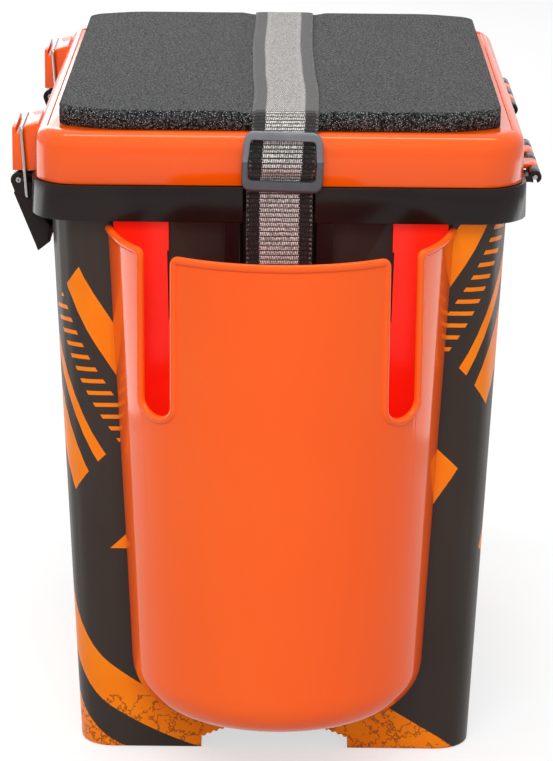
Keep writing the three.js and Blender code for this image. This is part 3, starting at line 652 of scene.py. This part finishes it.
def carved(piece, cutters):
    """The piece less its cutters, the many-sided faces divided while they are still flat."""
    for index, cutter in enumerate(cutters):
        step = piece.modifiers.new("cut_" + str(index), "BOOLEAN")
        step.operation = "DIFFERENCE"
        step.solver = "EXACT"
        step.object = cutter
    result = settled(piece, piece.name + "_carved")
    for cutter in cutters:
        drop(cutter)
    shape = bmesh.new()
    shape.from_mesh(result.data)
    bmesh.ops.remove_doubles(shape, verts=shape.verts, dist=CLEAN_DISTANCE)
    bmesh.ops.dissolve_degenerate(shape, edges=shape.edges, dist=CLEAN_DISTANCE)
    divided(shape)
    shape.to_mesh(result.data)
    shape.free()
    return result


EAR_START = math.asin((NOTCH_X + NOTCH_RADIUS + BEAD) / (POCKET_RADIUS - POCKET_WALL / 2))
EAR_END = math.acos((AXIS_INSET + POCKET_GAP + BEAD) / POCKET_RADIUS)


def ear_share(angle):
    """0 at the notch, rising to 1 where the ear meets the wall."""
    return max(0, (abs(angle) - EAR_START) / (EAR_END - EAR_START)) ** EAR_CURVE


def on_scoop(angle, z, radius):
    """The place at that angle from the front, height and distance from the axis."""
    return Vector((POCKET_X + radius * math.sin(angle), AXIS_Y - radius * math.cos(angle), z))


def bead_corners(side):
    """Corners of the beaded edge as angle from the front and height, from the middle out to the wall."""
    inner, outer = (NOTCH_X - NOTCH_RADIUS - BEAD, NOTCH_X + NOTCH_RADIUS + BEAD)
    top = POCKET_TOP - BEAD
    low = POCKET_TOP - NOTCH_DEPTH + NOTCH_RADIUS
    radius = NOTCH_RADIUS + BEAD
    places = [(inner, top), (inner, low)]
    for step in range(1, NOTCH_STEPS):
        angle = math.pi * step / NOTCH_STEPS
        places.append((NOTCH_X - radius * math.cos(angle), low - radius * math.sin(angle)))
    places += [(outer, low), (outer, top)]
    corners = []
    for x, z in places:
        corners.append((side * math.asin(x / (scoop_radius(z) - POCKET_WALL / 2)), z))
    return [*corners, (side * EAR_END, top)]


def bead_path():
    """The pocket's beaded edge, rounded at its corners, rising and flaring where the ears near the wall."""
    right = [Vector((angle * POCKET_RADIUS, z)) for angle, z in bead_corners(1)]
    left = [Vector((angle * POCKET_RADIUS, z)) for angle, z in reversed(bead_corners(-1))]
    flat = paced(bent(left + right, BEAD_CORNER, 6), BEAD_PITCH)
    path = []
    for point, _ in flat:
        angle, z = point.x / POCKET_RADIUS, point.y
        lift = ear_share(angle)
        radius = scoop_radius(z) - POCKET_WALL / 2 + BEAD_PROUD + EAR_FLARE * lift
        path.append(on_scoop(angle, z + EAR_RISE * lift, radius))
    return path


def ear_tops_raised(mesh):
    """Lifts and flares the shell's ears under their bead."""
    for vertex in mesh.vertices:
        out = vertex.co.x - POCKET_X
        if vertex.co.z > POCKET_TOP - BEAD * 2:
            lift = ear_share(math.atan2(abs(out), AXIS_Y - vertex.co.y))
            vertex.co.z += EAR_RISE * lift
            vertex.co.x += math.copysign(EAR_FLARE * lift, out)


def inside_marked(mesh):
    """Gives the faces behind the scoop's outer skin the finish of the inside: a deeper red and a faint glow,
    painted light for the red light bounced round inside the pocket.
    """
    for face in mesh.polygons:
        x, y, z = face.center
        skin = scoop_radius(z) + EAR_FLARE * ear_share(math.atan2(abs(x - POCKET_X), AXIS_Y - y))
        behind = math.hypot(x - POCKET_X, y - AXIS_Y) < skin - POCKET_WALL / 2
        face.material_index = int(behind and z > POCKET_FLOOR + POCKET_FILLET)


def tongue(side):
    """A flat tab that slides up into the tub's socket."""
    shape = bmesh.new()
    near, far = TONGUE_INNER, TONGUE_INNER + TONGUE_WIDTH
    corners = [(near, TONGUE_ROOT), (far, TONGUE_ROOT), (far, TONGUE_TOP), (near, TONGUE_TOP)]
    face = [shape.verts.new((POCKET_X + side * x, wall_y(z) - POCKET_GAP, z)) for x, z in corners]
    shape.faces.new(face)
    thickened(shape, (0, -POCKET_WALL, 0))
    return made("tongue", shape)


def joined(pieces, name):
    """One object that holds all the pieces' meshes."""
    shape = bmesh.new()
    for piece in pieces:
        shape.from_mesh(piece.data)
        drop(piece)
    return made(name, shape)


def pocket():
    """The carved scoop with its raised ears, its bead and its two tongues, as one moulding."""
    outer = scoop("scoop_outer", 0, POCKET_TOP - BEAD, POCKET_GAP)
    inner = scoop("scoop_inner", POCKET_WALL, POCKET_TOP + INNER_OVER, POCKET_GAP + POCKET_WALL)
    cutters = [notch_cutter(side, NOTCH_RADIUS + BEAD) for side in (-1, 1)]
    low = (POCKET_X - TONGUE_INNER, AXIS_Y - AXIS_INSET * 2, BACK_TOP)
    high = (POCKET_X + TONGUE_INNER, AXIS_Y + BACK_OVER, POCKET_TOP + BACK_OVER)
    cutters += [inner, block("back_cutter", low, high)]
    shell = carved(outer, cutters)
    ear_tops_raised(shell.data)
    inside_marked(shell.data)
    shell.data.transform(Matrix.Scale(MM, 4))
    tabs = [tongue(side) for side in (-1, 1)]
    for tab in tabs:
        inside_marked(tab.data)
        tab.data.transform(Matrix.Scale(MM, 4))
    bead = tube("pocket_bead", bead_path(), BEAD)
    piece = joined([shell, bead, *tabs], "pocket_scoop")
    edges_rounded(piece, POCKET_EDGE, 40)
    finished(piece, [POCKET, POCKET_INSIDE_PAINTED_GLOW], ["pocket"], "pocket")


# Strap: one length of webbing, laid in four stretches

GAP, STAND_OFF, PRESSED = 0.3, 0.9, 1.2
LAYER = STRAP_THICK + GAP
JOIN_Z, SLIDER_Z = 350.7, 366
BAR_HEIGHT, BAR_THICK, WINDOW_END = 4, 1.6, 9.2
ANCHOR_LOW, ANCHOR_HIGH = box_mm("strap_anchor_front")
ANCHOR_Z = (ANCHOR_LOW.z + ANCHOR_HIGH.z) / 2
ANCHOR_RADIUS = (ANCHOR_HIGH.z - ANCHOR_LOW.z) / 2
LOOP_Y = LID_LOW.y - STAND_OFF - STRAP_THICK / 2
RUN_Y = LOOP_Y - LAYER
SLIDER_BACK = RUN_Y - STRAP_THICK / 2 - GAP
BAR_Y = SLIDER_BACK - BAR_THICK / 2
WRAP = BAR_THICK / math.sqrt(2) + (GAP + STRAP_THICK) / 2
FRONT_Y = BAR_Y - WRAP
REAR_Y = LID_HIGH.y + GAP + STRAP_THICK / 2
STRAP_CENTRE = sum(corner.x for corner in box_mm("strap_over_lid")) / 2
STRAP_BEND = 5
HALF_TURN_STEPS, COLUMNS = 16, 14
LOOP_TILT, LOOP_FOOT, LOOP_END, LOOP_DRIFT = 2.5, 6.4, 1, 0.3
FRONT_DRIFT, REAR_DRIFT = -1.0, 0.0
DOUBLED_GAP, DOUBLED_RISE = 0.4, 40

# How far the real strap wanders sideways, as a share of its run over the lid and millimetres
WANDER = ((0, -1.0), (0.035, 0.3), (0.1, 2.0), (0.24, 2.5), (0.42, 0.8), (0.6, -0.2), (0.86, 0.8), (1, 0))


def wander(share):
    """Millimetres to the side at that share of the run over the lid, eased between the places above."""
    for (start, first), (stop, second) in zip(WANDER, WANDER[1:]):
        if share <= stop:
            part = (share - start) / (stop - start)
            return first + (second - first) * part * part * (3 - 2 * part)
    return WANDER[-1][1]


def steady(drift):
    """A stretch of strap that lies the same distance to the side all along."""
    return lambda share: drift


def over_lid_path():
    """Up behind the slider's outer bars and over its cross bar, across the pad and down at the rear."""
    bulge = FRONT_Y - LAYER
    top = PAD_HIGH.z + GAP + STRAP_THICK / 2 - PRESSED
    corners = [
        (RUN_Y, JOIN_Z + GAP * 2), (RUN_Y, SLIDER_Z - WINDOW_END), (bulge, SLIDER_Z - BAR_HEIGHT),
        (bulge, SLIDER_Z + BAR_HEIGHT), (RUN_Y, SLIDER_Z + WINDOW_END), (RUN_Y, LID_HIGH.z + GAP),
        (PAD_LOW.y - STRAP_BEND / 2, top), (PAD_HIGH.y + STRAP_BEND / 2, top),
        (REAR_Y, LID_HIGH.z), (REAR_Y, JOIN_Z + GAP * 2),
    ]
    return bent([(0, *corner) for corner in corners], STRAP_BEND)


def half_turn(y, z, radius, along, up):
    """Half a circle from the rear where along is 1, from the front where it is -1, over the top or under."""
    angles = [math.pi * step / HALF_TURN_STEPS for step in range(HALF_TURN_STEPS + 1)]
    return [(y + along * radius * math.cos(angle), z + up * radius * math.sin(angle)) for angle in angles]


def slider_loop_path():
    """Up behind the slider, over its cross bar and down again in front of it."""
    lift = STRAP_WIDTH / 2 * math.tan(math.radians(LOOP_TILT))
    wrap_z = SLIDER_Z + (BAR_HEIGHT - BAR_THICK) / 2 + lift
    behind = [(LOOP_Y, JOIN_Z + GAP * 2), (LOOP_Y, SLIDER_Z - LOOP_FOOT)]
    path = [*behind, *half_turn(BAR_Y, wrap_z, WRAP, 1, 1), (FRONT_Y, SLIDER_Z - LOOP_END)]
    return [Vector((0, *place)) for place in path]


def fall_path(end, first, last):
    """Down, round the anchor bar and up again."""
    low, high = box_mm("strap_anchor_" + ("front" if end < 0 else "rear"))
    centre = (low.y + high.y) / 2
    radius = ANCHOR_RADIUS + GAP + STRAP_THICK / 2
    path = [first, *half_turn(centre, ANCHOR_Z, radius, end, -1), last]
    return [Vector((0, *place)) for place in path]


# Cross section of the webbing: how far its ribs spread and rise, how its edges sink, and what the ribs
# take off its thickness
RIB_SPREAD, RIB_RISE, RIB_SHARE = 0.18, 0.07, 0.15
EDGE_SINK, EDGE_SHARE = 0.35, 0.2


def webbing_strip(name, path, sideways, node):
    """A ribbed strip along the path, its UV in metres across and along."""
    rows = paced(path, RIB / 4)
    shape = bmesh.new()
    layer = shape.loops.layers.uv.new("UVMap")
    bmesh.ops.create_grid(shape, x_segments=COLUMNS, y_segments=len(rows) - 1, size=0.5)
    for face in shape.faces:
        for loop in face.loops:
            row = rows[round((loop.vert.co.y + 0.5) * (len(rows) - 1))]
            loop[layer].uv = ((loop.vert.co.x + 0.5) * STRAP_WIDTH * MM, row[1] * MM)
    for vertex in shape.verts:
        index = round((vertex.co.y + 0.5) * (len(rows) - 1))
        place, distance = rows[index]
        along = (rows[min(index + 1, len(rows) - 1)][0] - rows[max(index - 1, 0)][0]).normalized()
        out = Vector((0, -along.z, along.y))
        ridge = math.cos(math.tau * distance / RIB)
        side = vertex.co.x * 2
        width = STRAP_WIDTH / 2 + RIB_SPREAD * ridge
        lift = RIB_RISE * ridge - EDGE_SINK * max(0, abs(side) - 1 + EDGE_SHARE) / EDGE_SHARE
        shift = STRAP_CENTRE + sideways(distance / rows[-1][1]) + side * width
        vertex.co = (Vector((shift, 0, 0)) + place + out * lift) * MM
    bmesh.ops.recalc_face_normals(shape, faces=shape.faces)
    piece = made(name, shape)
    skin = piece.modifiers.new("thickness", "SOLIDIFY")
    skin.thickness = (STRAP_THICK - RIB_SHARE) * MM
    skin.offset = 0
    return finished(piece, [WEBBING], [node])


def strap():
    """The stretches that ride the lid, and the two falls between tub and lid."""
    front = fall_path(-1, (RUN_Y, JOIN_Z), (LOOP_Y, JOIN_Z))
    doubled = (REAR_Y - LAYER - DOUBLED_GAP, ANCHOR_Z + DOUBLED_RISE)
    rear = fall_path(1, (REAR_Y, JOIN_Z), doubled)
    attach(webbing_strip("strap_over_lid_webbing", over_lid_path(), wander, "strap_over_lid"), "lid")
    drift = steady(LOOP_DRIFT)
    loop = webbing_strip("strap_slider_loop_webbing", slider_loop_path(), drift, "strap_slider_loop")
    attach(loop, "lid")
    for end, path, drift in (("front", front, FRONT_DRIFT), ("rear", rear, REAR_DRIFT)):
        node = "strap_" + end + "_fall"
        webbing = webbing_strip(node + "_webbing", path, steady(drift), node)
        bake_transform(webbing)


# Strap slider: a rounded frame, its two halves leaning back from the cross bar

SLIDER_LEFT, SLIDER_RIGHT = -21.3, 25.1
SLIDER_LOW, SLIDER_TOP = 348.9, 384.1
WINDOW_LEFT, WINDOW_RIGHT = -17.4, 20.8
WINDOW_LOW, WINDOW_TOP = 355.9, 378.8
SLIDER_THICK, SLIDER_LEAN, SLIDER_TAPER = 3.2, 0.06, 0.05
WINDOW_CORNER, SLIDER_CORNER, SLIDER_INSET = 2.6, 6.0, 3
SLIDER_TILT, SLIDER_EDGE, BAR_INSET = 1.5, 1.45, 2
SLIDER_X = MIDDLE.x + (SLIDER_LEFT + SLIDER_RIGHT) / 2
SLIDER_MIDDLE_Z = SLIDER_Z + 1


def slider_outline(shape):
    """The frame's face: a rectangle inset to a window, with the middle face taken out."""
    low = [(SLIDER_LEFT, SLIDER_LOW), (SLIDER_RIGHT, SLIDER_LOW)]
    high = [(SLIDER_RIGHT, SLIDER_TOP), (SLIDER_LEFT, SLIDER_TOP)]
    face = shape.faces.new([shape.verts.new((MIDDLE.x + x, 0, z)) for x, z in low + high])
    bmesh.ops.inset_individual(shape, faces=[face], thickness=SLIDER_INSET)
    for vertex in face.verts:
        vertex.co.x = MIDDLE.x + (WINDOW_LEFT if vertex.co.x < SLIDER_X else WINDOW_RIGHT)
        vertex.co.z = WINDOW_LOW if vertex.co.z < SLIDER_Z else WINDOW_TOP
    bmesh.ops.delete(shape, geom=[face], context="FACES_ONLY")


def uprights_rounded(shape, radius, outside):
    """Rounds the frame's corners, those of the window or those within 2 mm of its sides."""
    limit = (SLIDER_RIGHT - SLIDER_LEFT) / 2 - 2
    uprights = []
    for edge in shape.edges:
        first, second = edge.verts
        through = abs(first.co.y - second.co.y) > 1
        if through and (abs(first.co.x - SLIDER_X) > limit) == outside:
            uprights.append(edge)
    bevelled(shape, uprights, radius, 8)


def slider_frame():
    """The frame, leaning back from its middle and a little narrower towards the top."""
    shape = bmesh.new()
    slider_outline(shape)
    thickened(shape, (0, -SLIDER_THICK, 0))
    uprights_rounded(shape, WINDOW_CORNER, False)
    uprights_rounded(shape, SLIDER_CORNER, True)
    split(shape, (SLIDER_X, 0, SLIDER_MIDDLE_Z), (0, 0, 1))
    half = (SLIDER_TOP - SLIDER_LOW) / 2
    for vertex in shape.verts:
        rise = vertex.co.z - SLIDER_MIDDLE_Z
        vertex.co.y += SLIDER_BACK - SLIDER_LEAN * (half - abs(rise))
        if rise > 0:
            vertex.co.x = SLIDER_X + (vertex.co.x - SLIDER_X) * (1 - SLIDER_TAPER * rise / half)
    return made("slider_frame", shape)


def slider():
    """The frame with its cross bar, turned a little to the right as in the photo."""
    body = slider_frame()
    low = (MIDDLE.x + SLIDER_LEFT + BAR_INSET, BAR_Y - BAR_THICK / 2, SLIDER_Z - BAR_HEIGHT / 2)
    high = (MIDDLE.x + SLIDER_RIGHT - BAR_INSET, BAR_Y + BAR_THICK / 2, SLIDER_Z + BAR_HEIGHT / 2)
    piece = joined([body, block("slider_bar", low, high)], "strap_slider_frame")
    centre = Matrix.Translation((SLIDER_X, 0, SLIDER_Z))
    tilt = centre @ Matrix.Rotation(math.radians(SLIDER_TILT), 4, "Y") @ centre.inverted()
    piece.data.transform(Matrix.Scale(MM, 4) @ tilt)
    edges_rounded(piece, SLIDER_EDGE, 35, 5)
    # The slider's grey has a painted lit upper half and a painted shaded lower half
    grey = grey_plastic("grey_plastic_painted_lit_top", SLIDER_MIDDLE_Z * MM)
    finished(piece, [grey], ["strap_slider"], "lid")


# Seat pad: a foam slab with set-back corners, pressed down a little under the strap

PAD_CORNER_X, PAD_CORNER_Y = 29, 13
PAD_CORNER_RADIUS, PAD_RIM_RADIUS = 9, 1.1
PAD_MIDDLE_Z = (PAD_LOW.z + PAD_HIGH.z) / 2
PRESS_CENTRE, PRESS_HALF, PRESS_EASE = STRAP_CENTRE + 0.8, STRAP_WIDTH / 2 + 1, 9
PRESS_STEPS = 6


def pad_slab():
    """The plain slab, eight-sided seen from above."""
    shape = bmesh.new()
    half = (PAD_HIGH - PAD_LOW) / 2
    corners = []
    for right, back in ((1, 1), (-1, 1), (-1, -1), (1, -1)):
        side = (right * half.x, back * (half.y - PAD_CORNER_Y))
        end = (right * (half.x - PAD_CORNER_X), back * half.y)
        corners += [side, end] if right * back > 0 else [end, side]
    shape.faces.new([shape.verts.new((MIDDLE.x + x, MIDDLE.y + y, PAD_LOW.z)) for x, y in corners])
    thickened(shape, (0, 0, PAD_HIGH.z - PAD_LOW.z))
    return shape


def pressed_under_strap(shape):
    """Cuts the slab lengthwise beside the strap and lowers what lies under it, eased out to both sides."""
    for side in (-1, 1):
        for step in range(PRESS_STEPS + 1):
            place = PRESS_CENTRE + side * (PRESS_HALF + PRESS_EASE * step / PRESS_STEPS)
            split(shape, (place, 0, 0), (1, 0, 0))
    for vertex in shape.verts:
        away = max(0, abs(vertex.co.x - PRESS_CENTRE) - PRESS_HALF) / PRESS_EASE
        if vertex.co.z > PAD_MIDDLE_Z and away < 1:
            vertex.co.z -= PRESSED * (1 - away * away * (3 - 2 * away))


def seat_pad():
    """The slab with rounded corners and rim: a skin on top and below, cut foam round the sides."""
    shape = pad_slab()
    uprights = [edge for edge in shape.edges if abs(edge.verts[0].co.z - edge.verts[1].co.z) > 1]
    bevelled(shape, uprights, PAD_CORNER_RADIUS, 6)
    rim = [edge for edge in shape.edges if min(vertex.co.z for vertex in edge.verts) > PAD_MIDDLE_Z]
    bevelled(shape, rim, PAD_RIM_RADIUS, 3)
    for face in shape.faces:
        face.material_index = 1 if abs(face.normal.z) < 0.6 else 0
    pressed_under_strap(shape)
    piece = made("seat_pad_foam", shape)
    piece.data.transform(Matrix.Scale(MM, 4))
    finished(piece, [FOAM_TOP, FOAM_CUT], ["seat_pad"], "lid")


# Camera, light and floor

# Degrees of yaw, pitch and roll, and metres
CAMERA_TURNS = (-0.11, 15.49, 0.51)
CAMERA_PLACE = (0.00488, -1.99029, 0.7461)
FOCAL_PIXELS, PICTURE_PIXELS, SENSOR = 3300, 761, 36
WORLD_LIGHT, FLOOR_HALF, FLOOR_GREY, FLOOR_GLOW = 0.5, 9, 0.42, 0.62


def camera():
    """The photograph's viewpoint: 15.5 degrees down, almost square to the pocket end."""
    yaw, pitch, roll = (math.radians(value) for value in CAMERA_TURNS)
    ahead = Vector((math.sin(yaw) * math.cos(pitch), math.cos(yaw) * math.cos(pitch), -math.sin(pitch)))
    right = Vector((math.cos(yaw), -math.sin(yaw), 0))
    down = ahead.cross(right)
    turned_right = right * math.cos(roll) - down * math.sin(roll)
    turned_down = right * math.sin(roll) + down * math.cos(roll)
    data = bpy.data.cameras.new("photo_camera")
    data.sensor_width = SENSOR
    data.lens = FOCAL_PIXELS / PICTURE_PIXELS * SENSOR
    data.clip_end = 50
    eye = bpy.data.objects.new("photo_camera", data)
    bpy.context.scene.collection.objects.link(eye)
    axes = Matrix((turned_right, -turned_down, -ahead)).transposed()
    eye.matrix_world = Matrix.Translation(CAMERA_PLACE) @ axes.to_4x4()
    bpy.context.scene.camera = eye


def lamp(name, place, target, width, height, level, gloss=True):
    """A flat lamp of the given level, where 1 is as bright as white paper."""
    data = bpy.data.lights.new(name, "AREA")
    data.shape = "RECTANGLE"
    data.size, data.size_y = width, height
    data.energy = level * math.pi * width * height
    source = bpy.data.objects.new(name, data)
    bpy.context.scene.collection.objects.link(source)
    source.visible_camera = False
    source.visible_glossy = gloss
    aim = (Vector(target) - Vector(place)).to_track_quat("-Z", "Y").to_matrix().to_4x4()
    source.matrix_world = Matrix.Translation(place) @ aim


def studio_world():
    """White to the camera and in reflections, dimmer as light on the object."""
    world = bpy.data.worlds.new("studio")
    bpy.context.scene.world = world
    world.use_nodes = True
    tree = world.node_tree
    backdrop = tree.nodes["Background"]
    backdrop.inputs["Color"].default_value = (1, 1, 1, 1)
    rays = tree.nodes.new("ShaderNodeLightPath")
    seen = rays.outputs["Is Camera Ray"]
    for kind in ("Is Glossy Ray", "Is Transmission Ray"):
        either = tree.nodes.new("ShaderNodeMath")
        either.operation = "MAXIMUM"
        tree.links.new(seen, either.inputs[0])
        tree.links.new(rays.outputs[kind], either.inputs[1])
        seen = either.outputs[0]
    level = tree.nodes.new("ShaderNodeMapRange")
    level.inputs["To Min"].default_value = WORLD_LIGHT
    tree.links.new(seen, level.inputs["Value"])
    tree.links.new(level.outputs[0], backdrop.inputs["Strength"])


def floor():
    """White paper that takes the shadow. It glows for the camera and in reflections only."""
    shape = bmesh.new()
    bmesh.ops.create_grid(shape, x_segments=1, y_segments=1, size=FLOOR_HALF)
    ground = made("floor", shape, True)
    grey = (FLOOR_GREY, FLOOR_GREY, FLOOR_GREY, 1)
    paint = Finish("floor_paper", Base_Color=grey, Roughness=0.95, Specular_IOR_Level=0.1)
    rays = paint.node("LightPath")
    seen = Shade(paint, rays.outputs["Is Camera Ray"]).most(Shade(paint, rays.outputs["Is Glossy Ray"]))
    seen = seen.most(Shade(paint, rays.outputs["Is Transmission Ray"]))
    glow = paint.node("Emission", None, Color=(1, 1, 1, 1), Strength=seen * FLOOR_GLOW)
    both = paint.node("AddShader")
    paint.put(both.inputs[0], paint.shader.outputs[0])
    paint.put(both.inputs[1], glow.outputs[0])
    paint.put(paint.tree.nodes["Material Output"].inputs["Surface"], both.outputs[0])
    ground.data.materials.append(paint.material)


def studio():
    """The world, six flat lamps and the paper floor."""
    studio_world()
    lamp("top_softbox", (0, -0.1, 2.0), (0, 0, 0.35), 1.8, 0.36, 7)
    lamp("key", (-0.25, -2.3, 2.1), (0, 0, 0.2), 1.6, 1.0, 6.5, False)
    lamp("back_left_panel", (-0.9, 2.6, 1.1), (0, 0.1, 0.38), 1.4, 1.2, 3)
    lamp("left_panel", (-0.6, 0.17, 0.16), (0, -0.13, 0.16), 0.42, 0.3, 2.1)
    lamp("right_panel", (0.52, 0.16, 0.14), (0, -0.13, 0.14), 0.3, 0.24, 1.25)
    lamp("front_fill", (0.2, -2.8, 0.9), (0, 0, 0.2), 2.0, 1.0, 2.8, False)
    floor()


moulded_pieces()
pocket()
strap()
slider()
seat_pad()
camera()
studio()
bpy.context.scene.view_settings.view_transform = "Standard"
